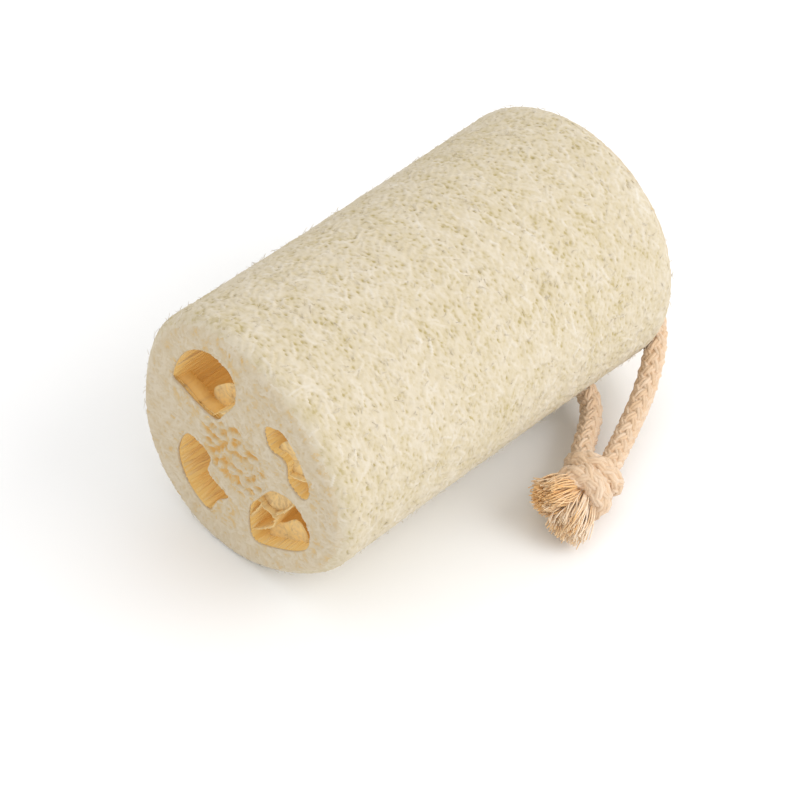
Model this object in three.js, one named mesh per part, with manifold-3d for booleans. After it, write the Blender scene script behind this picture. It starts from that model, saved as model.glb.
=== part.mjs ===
// Natural loofah sponge with a cotton hanging rope, lying on its side.
// The sponge is a trimmed length of a dried sponge gourd: one body of tangled plant fibre with a raised
// net all over it, four seed chambers running from end to end and a pitted fibre core between them.
// A short rope goes through the wall into one chamber and out over the far rim, and its ends are knotted.

import * as THREE from 'three';
import { mergeVertices } from 'three/addons/utils/BufferGeometryUtils.js';
import Module from 'manifold-3d';

// Sizes are in millimetres. The sponge's axis lies along X, its near cut face at the lowest X.
// Angles are in degrees round that axis, from +Y towards +Z.
const LENGTH = 120;
const RADIUS = 37.6;
const AXIS_HEIGHT = 37;
const WAIST = 0.4;
const NEAR_RIM_ROUNDING = 4.6;
const FAR_RIM_ROUNDING = 6.7;
const RIM_ROW_ANGLES = [20, 55];

// The near end is squeezed oval, with its bulge low on the +Y side. The far end is round.
const NEAR_OVAL = 0.071;
const NEAR_LOBE = 0.039;
const BULGE_ANGLE = -56;

// Raised net: every third lattice point is a pit, and the six points round it are its rim of fibre.
const NET_COLUMNS = 69;
const NET_ROW_PITCH = 2.7;
const PIT_DEPTH = 2.2;
const RIDGE_VARIATION = 0.4;
const LATTICE_JITTER = 0.2;
const FLAT_ANGLE = -90;
const FLAT_HALF_WIDTH = 7;
const FLAT_FADE = 4;

// The cut faces: the rim zone carries the net, the middle stays plain and takes the core's pits.
const FACE_NET_RADII = [33, 30.5];
const FACE_PLAIN_RADII = [27, 10];
const FACE_PIT_DEPTH = 1.4;

// Seed chambers as outlines across the axis, each point (y, height above the axis).
const CHAMBER_OUTLINES = {
  upper: [
    [20.5, 12], [14, 25], [5, 30], [-2, 27.5],
    [-2.5, 20], [4, 12], [12, 4.5], [19.5, 4],
  ],
  lower: [
    [21.5, -13], [16, -3.5], [9, -6], [10, -12.5],
    [-0.5, -17], [2, -26.5], [11, -27.5], [19.5, -22],
  ],
  side: [
    [-4.5, -14], [-8, -8], [-14.5, -0.5], [-21, 0],
    [-25.5, -5], [-24.5, -12.5], [-14, -21], [-5, -24.5],
  ],
  small: [
    [-12.5, 19], [-18.5, 21.5], [-24, 15.5], [-26.5, 7.5],
    [-24, 4], [-19.5, 6], [-18.5, 12], [-13.5, 13],
  ],
};
const CHAMBER_SIDES = 16;
const CHAMBER_STEPS = 14;
const CHAMBER_RIB = 0.5;
const CUT_OVERRUN = 4;

// Small pits between the chambers, scattered over the core on both cut faces.
const CORE_RADIUS = 13;
const CORE_PITS = 11;
const CORE_PIT_DEPTH = 5;
const CORE_PIT_RADIUS = [1.3, 2.3];
const CORE_PIT_SPACING = 4.8;
const CORE_PIT_SIDES = 5;

// The rope's free stretch, from the knot through the wall and the side chamber, over the far rim and back.
const ROPE_DIAMETER = 6.2;
const ROPE_SIDES = 10;
const ROPE_STEPS = 44;
const ROPE_CLEARANCE = 0.35;
const ROPE_ROUTE = [
  [16.6, -43.4, 8.6], [22.0, -39.2, 8.2], [28.4, -35.4, 7.7], [33.6, -32.0, 7.9], [37.4, -27.2, 9.2],
  [38.7, -21.6, 11.2], [39.4, -16.2, 14.7], [41.6, -11.8, 18.9], [45.6, -9.1, 23.0], [51.0, -8.6, 26.4],
  [56.8, -10.7, 28.2], [61.4, -15.1, 28.0], [63.7, -20.7, 26.0], [63.0, -26.1, 22.8], [59.8, -30.6, 19.6],
  [55.3, -34.2, 17.1], [50.2, -37.0, 14.4], [43.2, -40.2, 11.8], [35.9, -42.8, 9.7], [28.2, -45.6, 8.6],
  [21.0, -48.2, 8.4],
];

// The knot: both ends wound together round a small core, each turn tilted its own way.
const KNOT_CENTRE = [13.4, -48.2, 9.2];
const KNOT_AXIS = [-0.96, -0.2, -0.12];
const KNOT_CORE = 6.4;
const KNOT_TURN_RADIUS = 5.3;
const KNOT_TURNS = [
  { along: -3.4, tilt: 14, roll: 20 },
  { along: 0.6, tilt: -26, roll: 75 },
  { along: 3.6, tilt: 24, roll: 140 },
];
const KNOT_TURN_SEGMENTS = 20;

// The two frayed ends: a short stub that spreads into a trimmed brush.
const FRAYED_ENDS = [
  { direction: [-0.9, 0.42, -0.15], length: 15 },
  { direction: [-0.94, -0.28, -0.17], length: 15.5 },
];
const BRUSH_RADIUS = 5.8;
const BRUSH_SIDES = 14;
const BRUSH_RAGGED = 1.1;
const STUB_SHARE = 0.35;
const SPREAD_SHARE = 0.65;
const SPREAD_WIDTH = 0.85;
const TIP_SHARE = 0.95;
const TIP_WIDTH = 0.6;
const REST_GAP = 0.3;

const FIBRE_COLOUR = 0xe9dfbf;
const COTTON_COLOUR = 0xe0bf9b;
const SEED = 318;
const MERGE_TOLERANCE = 1e-4;

const wasm = await Module();
wasm.setup();

// A repeatable stream of numbers from 0 to 1.
function seededRandom(seed) {
  let state = seed;
  return () => {
    state = (state + 0x6d2b79f5) | 0;
    let mixed = Math.imul(state ^ (state >>> 15), 1 | state);
    mixed = (mixed + Math.imul(mixed ^ (mixed >>> 7), 61 | mixed)) ^ mixed;
    return ((mixed ^ (mixed >>> 14)) >>> 0) / 4294967296;
  };
}

const random = seededRandom(SEED);
const spread = (amount) => (random() * 2 - 1) * amount;
const radians = THREE.MathUtils.degToRad;

// Turns a closed geometry into a solid that can be joined and cut.
function toSolid(geometry) {
  geometry.deleteAttribute('normal');
  geometry.deleteAttribute('uv');
  const merged = mergeVertices(geometry, MERGE_TOLERANCE);
  const corners = merged.index.array;
  const kept = [];
  for (let k = 0; k < corners.length; k += 3) {
    const [a, b, c] = corners.slice(k, k + 3);
    if (a !== b && b !== c && c !== a) kept.push(a, b, c);
  }
  const vertProperties = new Float32Array(merged.getAttribute('position').array);
  return new wasm.Manifold(new wasm.Mesh({ numProp: 3, vertProperties, triVerts: new Uint32Array(kept) }));
}

// The largest body of a solid: scraps that a cut leaves loose are dropped.
function mainBody(solid) {
  return solid.decompose().reduce((kept, piece) => (piece.volume() > kept.volume() ? piece : kept));
}

function toMesh(name, solid, material) {
  const { vertProperties, triVerts } = mainBody(solid).getMesh();
  const geometry = new THREE.BufferGeometry();
  geometry.setAttribute('position', new THREE.BufferAttribute(vertProperties, 3));
  geometry.setIndex(new THREE.BufferAttribute(triVerts, 1));
  geometry.computeVertexNormals();
  const mesh = new THREE.Mesh(geometry, material);
  mesh.name = name;
  return mesh;
}

// How far the skin stands from the axis, before the net is raised on it.
function skinRadius(x, angle) {
  const along = x / LENGTH + 0.5;
  const fromBulge = angle - radians(BULGE_ANGLE);
  const oval = NEAR_OVAL * Math.cos(2 * fromBulge) + NEAR_LOBE * Math.cos(3 * fromBulge);
  return RADIUS * (1 + (1 - along) * oval) - WAIST * Math.sin(Math.PI * along);
}

// Rows of the skin from the near face's middle, round both rims, to the far face's middle.
// A face row has its own radius, a side row an inset from the skin, and net is the row's share of relief.
function skinRows() {
  const rows = [];
  const half = LENGTH / 2;
  const faceRows = (x) => [
    { x, radius: 0, net: 0 },
    ...FACE_PLAIN_RADII.toReversed().map((radius) => ({ x, radius, net: 0 })),
    ...FACE_NET_RADII.toReversed().map((radius) => ({ x, radius, net: 1 })),
  ];
  const rimRows = (side, rounding) => RIM_ROW_ANGLES.map((angle) => ({
    x: side * (half - rounding * (1 - Math.cos(radians(angle)))),
    inset: rounding * (1 - Math.sin(radians(angle))),
    net: 1,
  }));
  rows.push(...faceRows(-half), ...rimRows(-1, NEAR_RIM_ROUNDING));
  const start = -half + NEAR_RIM_ROUNDING;
  const end = half - FAR_RIM_ROUNDING;
  const count = Math.round((end - start) / NET_ROW_PITCH);
  for (let k = 0; k <= count; k++) {
    rows.push({ x: start + ((end - start) * k) / count, inset: 0, net: 1 });
  }
  rows.push(...rimRows(1, FAR_RIM_ROUNDING).toReversed(), ...faceRows(half).toReversed());
  return rows;
}

// One point of the skin: its place on the lattice, its wander, and whether it is a pit or a ridge.
function skinPoint(column, row, index) {
  const isFace = row.radius !== undefined;
  const isMiddle = row.radius === 0;
  const wander = isMiddle ? 0 : spread(LATTICE_JITTER);
  const drift = spread(LATTICE_JITTER) * NET_ROW_PITCH;
  const ridge = spread(RIDGE_VARIATION);
  const angle = ((column + index / 2 + wander) * 2 * Math.PI) / NET_COLUMNS;
  const isPit = (((column - index) % 3) + 3) % 3 === 0;
  const skin = skinRadius(row.x, angle);
  const radius = isFace ? (row.radius * skin) / RADIUS : skin - row.inset;
  const offBottom = Math.abs(Math.sin((angle - radians(FLAT_ANGLE)) / 2)) * 2 * radius;
  const offFlat = THREE.MathUtils.smoothstep(offBottom, FLAT_HALF_WIDTH, FLAT_HALF_WIDTH + FLAT_FADE);
  const clear = isFace ? 1 : offFlat;
  const depth = isFace ? FACE_PIT_DEPTH : PIT_DEPTH;
  const raise = row.net * clear * (isPit ? -depth : ridge);
  const x = isFace ? row.x + Math.sign(row.x) * raise : row.x + row.net * clear * drift;
  const out = isFace ? radius : radius + raise;
  const z = AXIS_HEIGHT + out * Math.sin(angle);
  return [x, out * Math.cos(angle), Math.max(z, 0)];
}

function skinSolid() {
  const rows = skinRows();
  const profile = rows.map((row) => new THREE.Vector2(row.radius ?? RADIUS - row.inset, row.x));
  const geometry = new THREE.LatheGeometry(profile, NET_COLUMNS);
  const position = geometry.getAttribute('position');
  for (let column = 0; column < NET_COLUMNS; column++) {
    rows.forEach((row, index) => {
      const point = skinPoint(column, row, index);
      position.setXYZ(column * rows.length + index, ...point);
      if (column === 0) position.setXYZ(NET_COLUMNS * rows.length + index, ...point);
    });
  }
  return toSolid(geometry);
}

// One chamber: its outline drawn from end to end, with its wall ribbed by the fibres that cross it.
function chamberSolid(outline) {
  const loop = new THREE.CatmullRomCurve3(outline.map(([y, z]) => new THREE.Vector3(y, z, 0)), true);
  const points = loop.getSpacedPoints(CHAMBER_SIDES).slice(0, CHAMBER_SIDES);
  const shape = new THREE.Shape(points.map((point) => new THREE.Vector2(point.x, point.y)));
  const depth = LENGTH + 2 * CUT_OVERRUN;
  const geometry = new THREE.ExtrudeGeometry(shape, { depth, steps: CHAMBER_STEPS, bevelEnabled: false });
  const centre = new THREE.Vector3();
  for (const point of points) centre.addScaledVector(point, 1 / points.length);
  const position = geometry.getAttribute('position');
  for (let k = 0; k < position.count; k++) {
    const across = new THREE.Vector2(position.getX(k) - centre.x, position.getY(k) - centre.y);
    const step = Math.round((position.getZ(k) / depth) * CHAMBER_STEPS);
    const rib = step % 2 === 0 ? CHAMBER_RIB : -CHAMBER_RIB;
    across.setLength(across.length() + rib);
    position.setXYZ(
      k,
      position.getZ(k) - depth / 2,
      centre.x + across.x,
      centre.y + across.y + AXIS_HEIGHT,
    );
  }
  return toSolid(geometry);
}

// Tapered pits scattered over the core of one cut face, each clear of the others.
function corePits(side) {
  const pits = [];
  const places = [];
  while (places.length < CORE_PITS) {
    const place = new THREE.Vector2(spread(CORE_RADIUS), spread(CORE_RADIUS));
    const isClear = places.every((other) => other.distanceTo(place) > CORE_PIT_SPACING);
    if (place.length() < CORE_RADIUS && isClear) places.push(place);
  }
  for (const place of places) {
    const mouth = THREE.MathUtils.lerp(...CORE_PIT_RADIUS, random());
    const pit = new THREE.CylinderGeometry(mouth, mouth / 2, 2 * CORE_PIT_DEPTH, CORE_PIT_SIDES);
    pit.rotateY(random() * Math.PI);
    pit.rotateZ((-side * Math.PI) / 2);
    pit.translate((side * LENGTH) / 2, place.x, AXIS_HEIGHT + place.y);
    pits.push(toSolid(pit));
  }
  return pits;
}

// A round tube along the rope's route, with its two ends drawn out by overrun.
function ropeTube(radius, overrun) {
  const points = ROPE_ROUTE.map((point) => new THREE.Vector3(...point));
  const drawOut = (end, inner) => end.addScaledVector(end.clone().sub(inner).normalize(), overrun);
  drawOut(points.at(0), points.at(1));
  drawOut(points.at(-1), points.at(-2));
  const circle = new THREE.EllipseCurve(0, 0, radius, radius).getPoints(ROPE_SIDES);
  const section = new THREE.Shape(circle.slice(0, ROPE_SIDES));
  const extrudePath = new THREE.CatmullRomCurve3(points);
  return toSolid(new THREE.ExtrudeGeometry(section, { steps: ROPE_STEPS, extrudePath }));
}

// The room that the rope takes up in the sponge and in its own knot.
function ropeChannel() {
  return ropeTube(ROPE_DIAMETER / 2 + ROPE_CLEARANCE, ROPE_CLEARANCE);
}

function loofah() {
  let solid = skinSolid();
  for (const outline of Object.values(CHAMBER_OUTLINES)) solid = solid.subtract(chamberSolid(outline));
  for (const pit of [...corePits(-1), ...corePits(1)]) solid = solid.subtract(pit);
  solid = solid.subtract(ropeChannel());
  const material = new THREE.MeshStandardMaterial({ color: FIBRE_COLOUR, roughness: 0.9, metalness: 0 });
  return toMesh('loofah', solid, material);
}

function cottonMaterial() {
  return new THREE.MeshStandardMaterial({ color: COTTON_COLOUR, roughness: 0.95, metalness: 0 });
}

// One turn of rope in the knot, wound round the knot's axis and tilted.
function knotTurn({ along, tilt, roll }, axis, centre) {
  const radius = ROPE_DIAMETER / 2;
  const turn = new THREE.TorusGeometry(KNOT_TURN_RADIUS, radius, ROPE_SIDES, KNOT_TURN_SEGMENTS);
  turn.rotateX(radians(tilt));
  turn.rotateZ(radians(roll));
  turn.applyQuaternion(new THREE.Quaternion().setFromUnitVectors(new THREE.Vector3(0, 0, 1), axis));
  turn.translate(...centre.clone().addScaledVector(axis, along));
  return toSolid(turn);
}

// A frayed end: a stub of rope sunk in the knot that spreads into a brush with a ragged tip,
// flattened where it lies on the surface.
function frayedEnd({ direction, length }, centre) {
  const stub = ROPE_DIAMETER / 2;
  const profile = [
    [0, 0],
    [stub, 0],
    [stub, STUB_SHARE * length],
    [SPREAD_WIDTH * BRUSH_RADIUS, SPREAD_SHARE * length],
    [BRUSH_RADIUS, TIP_SHARE * length],
    [TIP_WIDTH * BRUSH_RADIUS, length],
    [0, TIP_SHARE * length],
  ].map(([radius, along]) => new THREE.Vector2(radius, along));
  const brush = new THREE.LatheGeometry(profile, BRUSH_SIDES);
  const position = brush.getAttribute('position');
  const tipRows = [4, 5];
  for (let side = 0; side <= BRUSH_SIDES; side++) {
    const ragged = (side % BRUSH_SIDES) % 2 === 0 ? BRUSH_RAGGED : -BRUSH_RAGGED;
    for (const row of tipRows) {
      const k = side * profile.length + row;
      position.setY(k, position.getY(k) + ragged);
    }
  }
  const aim = new THREE.Vector3(...direction).normalize();
  brush.applyQuaternion(new THREE.Quaternion().setFromUnitVectors(new THREE.Vector3(0, 1, 0), aim));
  brush.translate(...centre);
  for (let k = 0; k < position.count; k++) position.setZ(k, Math.max(position.getZ(k), REST_GAP));
  return toSolid(brush);
}

function ropeKnot() {
  const centre = new THREE.Vector3(...KNOT_CENTRE);
  const axis = new THREE.Vector3(...KNOT_AXIS).normalize();
  const core = new THREE.SphereGeometry(KNOT_CORE, ROPE_SIDES, ROPE_SIDES / 2);
  core.translate(...centre);
  let solid = toSolid(core);
  for (const turn of KNOT_TURNS) solid = solid.add(knotTurn(turn, axis, centre));
  for (const end of FRAYED_ENDS) solid = solid.add(frayedEnd(end, centre));
  solid = solid.subtract(ropeChannel());
  return toMesh('rope_knot', solid, cottonMaterial());
}

const sponge = new THREE.Group();
sponge.add(loofah());
sponge.add(toMesh('rope_loop', ropeTube(ROPE_DIAMETER / 2, 0), cottonMaterial()));
sponge.add(ropeKnot());

export default sponge;
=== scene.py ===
"""A dried loofah sponge on a knotted cotton rope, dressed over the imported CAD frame."""
import math

import bpy
import numpy as np
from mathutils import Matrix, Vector


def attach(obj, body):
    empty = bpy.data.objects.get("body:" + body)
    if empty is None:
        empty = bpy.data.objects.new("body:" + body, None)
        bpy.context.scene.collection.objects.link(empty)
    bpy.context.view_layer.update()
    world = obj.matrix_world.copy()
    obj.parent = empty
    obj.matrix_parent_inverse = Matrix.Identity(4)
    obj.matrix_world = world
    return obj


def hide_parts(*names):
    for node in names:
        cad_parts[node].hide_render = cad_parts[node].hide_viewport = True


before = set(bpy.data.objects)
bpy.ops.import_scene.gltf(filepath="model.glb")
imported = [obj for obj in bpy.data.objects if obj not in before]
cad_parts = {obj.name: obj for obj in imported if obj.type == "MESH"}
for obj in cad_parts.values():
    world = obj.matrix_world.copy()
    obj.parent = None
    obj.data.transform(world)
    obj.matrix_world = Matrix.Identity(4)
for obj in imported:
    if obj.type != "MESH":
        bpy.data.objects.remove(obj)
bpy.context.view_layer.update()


# Camera. It looks down on the plain end of the sponge from the rope's side, as the photograph does.
# Its angles, distance and lens were found by fitting the sponge's outline in the picture.
VIEW_AZIMUTH = math.radians(-45.1)
VIEW_ELEVATION = math.radians(42.9)
VIEW_DISTANCE = 0.505
AIM_POINT = Vector((0, 0, 0.037))

backward = Vector((
    math.sin(VIEW_AZIMUTH) * math.cos(VIEW_ELEVATION),
    -math.cos(VIEW_AZIMUTH) * math.cos(VIEW_ELEVATION),
    math.sin(VIEW_ELEVATION),
))
camera = bpy.data.objects.new("camera", bpy.data.cameras.new("camera"))
camera.data.sensor_width = 36
camera.data.lens = 91.1
camera.data.shift_x = -0.016
camera.data.shift_y = -0.081
camera.location = AIM_POINT + backward * VIEW_DISTANCE
camera.rotation_mode = "QUATERNION"
camera.rotation_quaternion = (-backward).to_track_quat("-Z", "Y")
bpy.context.scene.collection.objects.link(camera)
bpy.context.scene.camera = camera


# The rope's free stretch: a round braid of eight soft cotton strands, four each way, each of plied yarns.
# It was threaded through the wall and one seed chamber at the far end, so it holds by that loop alone.
# Sizes are in millimetres; the route is the one that the CAD rope follows, in metres.
ROPE_ROUTE = [
    (0.0166, -0.0434, 0.0086), (0.0220, -0.0392, 0.0082), (0.0284, -0.0354, 0.0077),
    (0.0336, -0.0320, 0.0079), (0.0374, -0.0272, 0.0092), (0.0387, -0.0216, 0.0112),
    (0.0394, -0.0162, 0.0147), (0.0416, -0.0118, 0.0189), (0.0456, -0.0091, 0.0230),
    (0.0510, -0.0086, 0.0264), (0.0568, -0.0107, 0.0282), (0.0614, -0.0151, 0.0280),
    (0.0637, -0.0207, 0.0260), (0.0630, -0.0261, 0.0228), (0.0598, -0.0306, 0.0196),
    (0.0553, -0.0342, 0.0171), (0.0502, -0.0370, 0.0144), (0.0432, -0.0402, 0.0118),
    (0.0359, -0.0428, 0.0097), (0.0282, -0.0456, 0.0086), (0.0210, -0.0482, 0.0084),
]
ROPE_DIAMETER = 0.0062
BRAID_PITCH = 14.8
STRANDS_EACH_WAY = 4
STRAND_RING = 2.15
STRAND_WAVE = 0.3
YARNS_IN_STRAND = 4
YARN_PITCH = 7.0
YARN_RADIUS = 0.56
YARN_SPREAD = 0.62
YARN_LIFT = 0.26
YARN_SIDES = 5
YARN_TONES = (0.5, 0.85)
BRAID_CORE = 2.4
BRAID_CORE_SIDES = 10
BRAID_CORE_TONE = 0.5
BRAID_STEP = 0.95
METRES = 0.001


def unit(vectors):
    return vectors / np.maximum(np.linalg.norm(vectors, axis=-1, keepdims=True), 1e-12)


def smooth_line(points, spacing, closed=False):
    """Evenly spaced points on the centripetal Catmull-Rom curve through the given points."""
    points = np.asarray(points, float)
    if closed:
        p0, p1, p2, p3 = (np.roll(points, shift, 0) for shift in (1, 0, -1, -2))
    else:
        ends = np.vstack([2 * points[0] - points[1], points, 2 * points[-1] - points[-2]])
        p0, p1, p2, p3 = ends[:-3], ends[1:-2], ends[2:-1], ends[3:]
    d0, d1, d2 = (
        np.sqrt(np.linalg.norm(b - a, axis=1, keepdims=True))
        for a, b in ((p0, p1), (p1, p2), (p2, p3))
    )
    leave = ((p1 - p0) / d0 - (p2 - p0) / (d0 + d1) + (p2 - p1) / d1) * d1
    arrive = ((p2 - p1) / d1 - (p3 - p1) / (d1 + d2) + (p3 - p2) / d2) * d1
    u = np.linspace(0, 1, 24, endpoint=False)[:, None, None]
    bend = 3 * (p2 - p1) - 2 * leave - arrive
    twist = 2 * (p1 - p2) + leave + arrive
    fine = (p1 + u * leave + u**2 * bend + u**3 * twist).transpose(1, 0, 2)
    fine = np.vstack([fine.reshape(-1, points.shape[1]), points[:1] if closed else points[-1:]])
    reached = lengths_along(fine)
    even = np.linspace(0, reached[-1], max(2, round(reached[-1] / spacing) + 1))
    return np.stack([np.interp(even, reached, column) for column in fine.T], -1)


def lengths_along(line):
    steps = np.linalg.norm(np.diff(line, axis=0), axis=1)
    return np.concatenate([[0], np.cumsum(steps)])


def carried_frame(line):
    """Two directions square to the line at each of its points, carried along it without twist."""
    tangents = unit(np.gradient(line, axis=0))
    first = np.empty_like(line)
    normal = np.cross(tangents[0], (0.0, 0.0, 1.0))
    for place, tangent in enumerate(tangents):
        normal = unit(normal - tangent * (normal @ tangent))
        first[place] = normal
    return first, np.cross(tangents, first)


def tubes(paths, outward, radius, sides, tone, closed=False, flatness=1.0):
    """Tubes along paths (count, points, 3): their points, a tone for each point, and their faces."""
    count, length = paths.shape[:2]
    if closed:
        tangents = unit(np.roll(paths, -1, 1) - np.roll(paths, 1, 1))
    else:
        tangents = unit(np.gradient(paths, axis=1))
    across = unit(np.cross(tangents, np.broadcast_to(outward, paths.shape)))
    lift = np.cross(across, tangents)
    turn = np.pi / 2 + 2 * np.pi * np.arange(sides)[:, None] / sides
    ring = np.cos(turn) * across[:, :, None] + flatness * np.sin(turn) * lift[:, :, None]
    points = paths[:, :, None] + np.broadcast_to(radius, (count, length))[..., None, None] * ring
    index = np.arange(count * length * sides).reshape(count, length, sides)
    near = index if closed else index[:, :-1]
    far = np.roll(index, -1, 1) if closed else index[:, 1:]
    walls = np.stack([near, far, np.roll(far, -1, 2), np.roll(near, -1, 2)], -1)
    faces = [walls.reshape(-1, 4)]
    if not closed:
        faces += [index[:, 0], index[:, -1, ::-1]]
    tones = np.broadcast_to(np.broadcast_to(tone, (count, length))[..., None], index.shape)
    return points.reshape(-1, 3), tones.ravel(), faces


def make_piece(name, shapes, material):
    """One mesh object from shapes like those that tubes() returns, in millimetres."""
    starts = np.cumsum([0] + [len(points) for points, _, _ in shapes])
    faces = [
        face_set + start
        for start, (_, _, face_sets) in zip(starts, shapes)
        for face_set in face_sets
    ]
    points = np.concatenate([points for points, _, _ in shapes]) * METRES
    corners = np.concatenate([face_set.ravel() for face_set in faces])
    sizes = np.concatenate([np.full(len(face_set), face_set.shape[1]) for face_set in faces])
    mesh = bpy.data.meshes.new(name)
    mesh.vertices.add(len(points))
    mesh.vertices.foreach_set("co", points.ravel())
    mesh.loops.add(len(corners))
    mesh.loops.foreach_set("vertex_index", corners)
    mesh.polygons.add(len(sizes))
    mesh.polygons.foreach_set("loop_start", np.cumsum(sizes) - sizes)
    mesh.polygons.foreach_set("use_smooth", np.ones(len(sizes), bool))
    mesh.update(calc_edges=True)
    shade = mesh.attributes.new("tone", "FLOAT", "POINT")
    shade.data.foreach_set("value", np.concatenate([tones for _, tones, _ in shapes]))
    mesh.materials.append(material)
    piece = bpy.data.objects.new(name, mesh)
    bpy.context.scene.collection.objects.link(piece)
    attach(piece, "root")
    return piece


def braid(line, dice):
    """The yarns of a round braid along a line, with a plain core that closes the gaps between them."""
    along = lengths_along(line)
    first, second = carried_frame(line)
    paths, outward = [], []
    for way in (1, -1):
        weave = np.cos(2 * STRANDS_EACH_WAY * np.pi * along / BRAID_PITCH)
        ring = STRAND_RING + way * STRAND_WAVE * weave
        for strand in range(STRANDS_EACH_WAY):
            angle = 2 * np.pi * (way * along / BRAID_PITCH + strand / STRANDS_EACH_WAY)
            out = np.cos(angle)[:, None] * first + np.sin(angle)[:, None] * second
            centre = line + ring[:, None] * out
            across = unit(np.cross(unit(np.gradient(centre, axis=0)), out))
            for yarn in range(YARNS_IN_STRAND):
                turn = 2 * np.pi * (way * along / YARN_PITCH + yarn / YARNS_IN_STRAND)
                spread = YARN_SPREAD * np.cos(turn)[:, None] * across
                lift = YARN_LIFT * np.sin(turn)[:, None] * out
                paths.append(centre + (spread + lift))
                outward.append(out)
    tone = dice.uniform(*YARN_TONES, (len(paths), 1))
    yarns = tubes(np.array(paths), np.array(outward), YARN_RADIUS, YARN_SIDES, tone)
    core = tubes(line[None], first[None], BRAID_CORE, BRAID_CORE_SIDES, BRAID_CORE_TONE)
    return [yarns, core]


def node_adder(tree):
    """A function that adds a node to a tree, with its settings made and its sockets linked or set."""

    def add(kind, links=(), **settings):
        node = tree.nodes.new(kind)
        for key, value in settings.items():
            setattr(node, key, value)
        for socket, source in links:
            if hasattr(source, "links"):
                tree.links.new(source, node.inputs[socket])
            else:
                node.inputs[socket].default_value = source
        return node

    return add


def principled(name, roughness):
    """A material, its Principled shader, and functions that add a node and a link to it."""
    material = bpy.data.materials.new(name)
    material.use_nodes = True
    tree = material.node_tree
    shader = tree.nodes["Principled BSDF"]
    shader.inputs["Roughness"].default_value = roughness
    return material, shader, node_adder(tree), tree.links.new


def effect_group(name, inputs, outputs):
    """A shader node group with number sockets, a function that adds nodes to it, and its input node."""
    group = bpy.data.node_groups.new(name, "ShaderNodeTree")
    for socket in inputs:
        group.interface.new_socket(socket, in_out="INPUT", socket_type="NodeSocketFloat")
    for socket in outputs:
        group.interface.new_socket(socket, in_out="OUTPUT", socket_type="NodeSocketFloat")
    add = node_adder(group)
    return group, add, add("NodeGroupInput")


def ramp_colours(ramp, stops):
    """Fills a colour ramp from (place, sRGB colour of 0 to 255) pairs."""
    elements = ramp.color_ramp.elements
    while len(elements) < len(stops):
        elements.new(0.5)
    for element, (place, colour) in zip(elements, stops):
        element.position = place
        element.color = [*linear(colour), 1]


def linear(colour):
    """A linear colour from an sRGB one of 0 to 255."""
    share = np.array(colour) / 255
    return np.where(share < 0.0405, share / 12.92, ((share + 0.055) / 1.055) ** 2.4).tolist()


# Yarn fuzz: fine noise that breaks up each yarn's own tone, for the colour and for the bump.
yarn_fuzz, add, given = effect_group("yarn_fuzz", ["Scale", "Amount"], ["Tone", "Height"])
place = add("ShaderNodeTexCoord")
fuzz = add(
    "ShaderNodeTexNoise",
    [("Vector", place.outputs["Object"]), ("Scale", given.outputs["Scale"]), ("Detail", 4.0)],
)
yarn_tone = add("ShaderNodeAttribute", attribute_name="tone")
mottle = add(
    "ShaderNodeMath",
    [(0, fuzz.outputs["Fac"]), (1, given.outputs["Amount"]), (2, yarn_tone.outputs["Fac"])],
    operation="MULTIPLY_ADD",
)
middle = add("ShaderNodeMath", [(0, given.outputs["Amount"]), (1, 0.5)], operation="MULTIPLY")
centred = add("ShaderNodeMath", [(0, mottle.outputs[0]), (1, middle.outputs[0])], operation="SUBTRACT")
add("NodeGroupOutput", [("Tone", centred.outputs[0]), ("Height", fuzz.outputs["Fac"])])


def cotton_material(name, colours):
    """Undyed cotton yarn, matt and soft; its colours run from the deepest tone to the palest."""
    material, shader, add, link = principled(name, 0.92)
    shader.inputs["Sheen Weight"].default_value = 0.25
    shader.inputs["Sheen Roughness"].default_value = 0.6
    fuzz = add("ShaderNodeGroup", node_tree=yarn_fuzz, links=[("Scale", 900.0), ("Amount", 0.5)])
    ramp = add("ShaderNodeValToRGB", [("Fac", fuzz.outputs["Tone"])])
    ramp_colours(ramp, colours)
    link(ramp.outputs["Color"], shader.inputs["Base Color"])
    bump = add(
        "ShaderNodeBump",
        [("Height", fuzz.outputs["Height"]), ("Strength", 0.5), ("Distance", 0.0002)],
    )
    link(bump.outputs["Normal"], shader.inputs["Normal"])
    return material


cotton = cotton_material(
    "cotton_yarn",
    [(0.0, (216, 166, 108)), (0.5, (219, 188, 154)), (1.0, (228, 205, 180))],
)

rope_line = smooth_line(np.array(ROPE_ROUTE) / METRES, BRAID_STEP)
rope = make_piece("rope_braid", braid(rope_line, np.random.default_rng(11)), cotton)
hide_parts("rope_loop")


# The knot: both ends of the rope tied together beside the sponge in one overhand knot, pulled tight.
# Its turns are the same braid, wound on the three tilted rings of the CAD knot and tucked in at their ends.
KNOT_CENTRE = np.array([13.4, -48.2, 9.2])
KNOT_AXIS = unit(np.array([-0.96, -0.2, -0.12]))
KNOT_CORE = 5.2
TURN_RADIUS = 5.3
TURNS = [
    {"along": -3.4, "tilt": 14, "roll": 20},
    {"along": 0.6, "tilt": -26, "roll": 75},
    {"along": 3.6, "tilt": 24, "roll": 140},
]
TURN_SWEEP = 430
TURN_POINTS = 90
TURN_RISE = 0.6
TUCK_IN = 2.6
TUCK_SHARPNESS = 8
KNOT_CORE_POINTS = 13
KNOT_CORE_SIDES = 16
FLOOR_GAP = 0.35

knot_side = unit(np.cross((0.0, 0.0, 1.0), KNOT_AXIS))
knot_up = np.cross(KNOT_AXIS, knot_side)


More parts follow.
